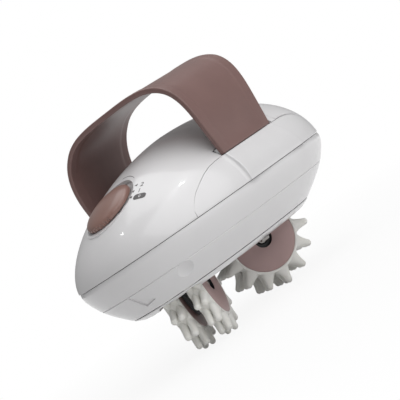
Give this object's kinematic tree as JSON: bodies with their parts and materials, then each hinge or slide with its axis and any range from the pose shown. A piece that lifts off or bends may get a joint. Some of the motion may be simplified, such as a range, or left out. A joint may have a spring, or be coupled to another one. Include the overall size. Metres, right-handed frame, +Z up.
{
  "type": "handheld body massager",
  "caption": "Egg-shaped handheld massager with a hand loop over the casing, a rotary switch on the nose and geared pairs of toothed rollers under it.",
  "frame": {"origin": "under the middle of the bounding box, on the floor that the roller teeth stand on", "axes": "+X from the nose with the switch to the tail, +Y away from the motors' side, +Z up through the hand loop"},
  "size_m": [0.1749, 0.118, 0.1311],
  "materials": {
    "white_shell": "glossy",
    "mauve_band": "satin",
    "mauve_hub": "satin",
    "white_rubber": "matte",
    "black_nylon": "matte",
    "gear_acetal": "satin",
    "axle_steel": "bright",
    "screw_steel": "polished",
    "motor_can": "plated",
    "board_green": "satin",
    "cell_sleeve": "glossy",
    "contact_nickel": "plated"
  },
  "bodies": {
    "casing": {"front_cover": "white_shell", "rear_cover": "white_shell", "lower_shell": "white_shell", "bottom_plate": "white_shell", "handle_band": "mauve_band", "switch_body": "black_nylon", "chassis": "black_nylon", "case_screw_1": "screw_steel", "case_screw_2": "screw_steel", "case_screw_3": "screw_steel", "case_screw_4": "screw_steel", "control_board": "board_green", "battery_tray": "black_nylon", "battery_contact_left": "contact_nickel", "battery_contact_right": "contact_nickel", "battery_cell_1": "cell_sleeve", "battery_cell_2": "cell_sleeve", "battery_cell_3": "cell_sleeve", "front_idler_pin": "axle_steel", "front_gearbox_near": "black_nylon", "front_gearbox_far": "black_nylon", "front_gearhead": "gear_acetal", "front_motor": "motor_can", "front_motor_strap": "black_nylon", "rear_idler_pin": "axle_steel", "rear_gearbox_near": "black_nylon", "rear_gearbox_far": "black_nylon", "rear_gearhead": "gear_acetal", "rear_motor": "motor_can", "rear_motor_strap": "black_nylon"},
    "front_rollers": {"front_hub_near": "mauve_hub", "front_hub_far": "mauve_hub", "front_tyre_near": "white_rubber", "front_tyre_far": "white_rubber", "front_axle": "axle_steel", "front_axle_screw_near": "screw_steel", "front_axle_screw_far": "screw_steel", "front_axle_gear": "gear_acetal"},
    "front_idler": {"front_idler_gear": "gear_acetal"},
    "front_output": {"front_pinion": "gear_acetal", "front_output_shaft": "axle_steel"},
    "rear_rollers": {"rear_hub_near": "mauve_hub", "rear_hub_far": "mauve_hub", "rear_tyre_near": "white_rubber", "rear_tyre_far": "white_rubber", "rear_axle": "axle_steel", "rear_axle_screw_near": "screw_steel", "rear_axle_screw_far": "screw_steel", "rear_axle_gear": "gear_acetal"},
    "rear_idler": {"rear_idler_gear": "gear_acetal"},
    "rear_output": {"rear_pinion": "gear_acetal", "rear_output_shaft": "axle_steel"},
    "switch": {"switch_knob": "mauve_band"},
    "door": {"battery_door": "white_shell"}
  },
  "joints": [
    {"name": "front_roller_spin", "type": "hinge", "parent": "casing", "child": "front_rollers", "pos_m": [-0.042, 0, 0.0285], "axis": [0.5075, -0.8616, 0], "continuous": true},
    {"name": "front_idler_spin", "type": "hinge", "parent": "casing", "child": "front_idler", "pos_m": [-0.042, 0, 0.0525], "axis": [0.5075, -0.8616, 0], "continuous": true},
    {"name": "front_output_spin", "type": "hinge", "parent": "casing", "child": "front_output", "pos_m": [-0.042, 0, 0.0725], "axis": [0.5075, -0.8616, 0], "continuous": true},
    {"name": "rear_roller_spin", "type": "hinge", "parent": "casing", "child": "rear_rollers", "pos_m": [0.024, 0, 0.0285], "axis": [-0.5075, -0.8616, 0], "continuous": true},
    {"name": "rear_idler_spin", "type": "hinge", "parent": "casing", "child": "rear_idler", "pos_m": [0.024, 0, 0.0525], "axis": [-0.5075, -0.8616, 0], "continuous": true},
    {"name": "rear_output_spin", "type": "hinge", "parent": "casing", "child": "rear_output", "pos_m": [0.024, 0, 0.0725], "axis": [-0.5075, -0.8616, 0], "continuous": true},
    {"name": "switch_turn", "type": "hinge", "parent": "casing", "child": "switch", "pos_m": [-0.0575, 0, 0.08797], "axis": [-0.3746, 0, 0.9272], "range_deg": [0, 40]},
    {"name": "door_lift", "type": "slide", "parent": "casing", "child": "door", "axis": [0, 0, 1], "range_m": [0, 0.025]}
  ],
  "couplings": [
    {"joint": "front_idler_spin", "follows": "front_roller_spin", "ratio": -0.71429},
    {"joint": "front_output_spin", "follows": "front_roller_spin", "ratio": 1.6667},
    {"joint": "rear_idler_spin", "follows": "rear_roller_spin", "ratio": -0.71429},
    {"joint": "rear_output_spin", "follows": "rear_roller_spin", "ratio": 1.6667}
  ]
}
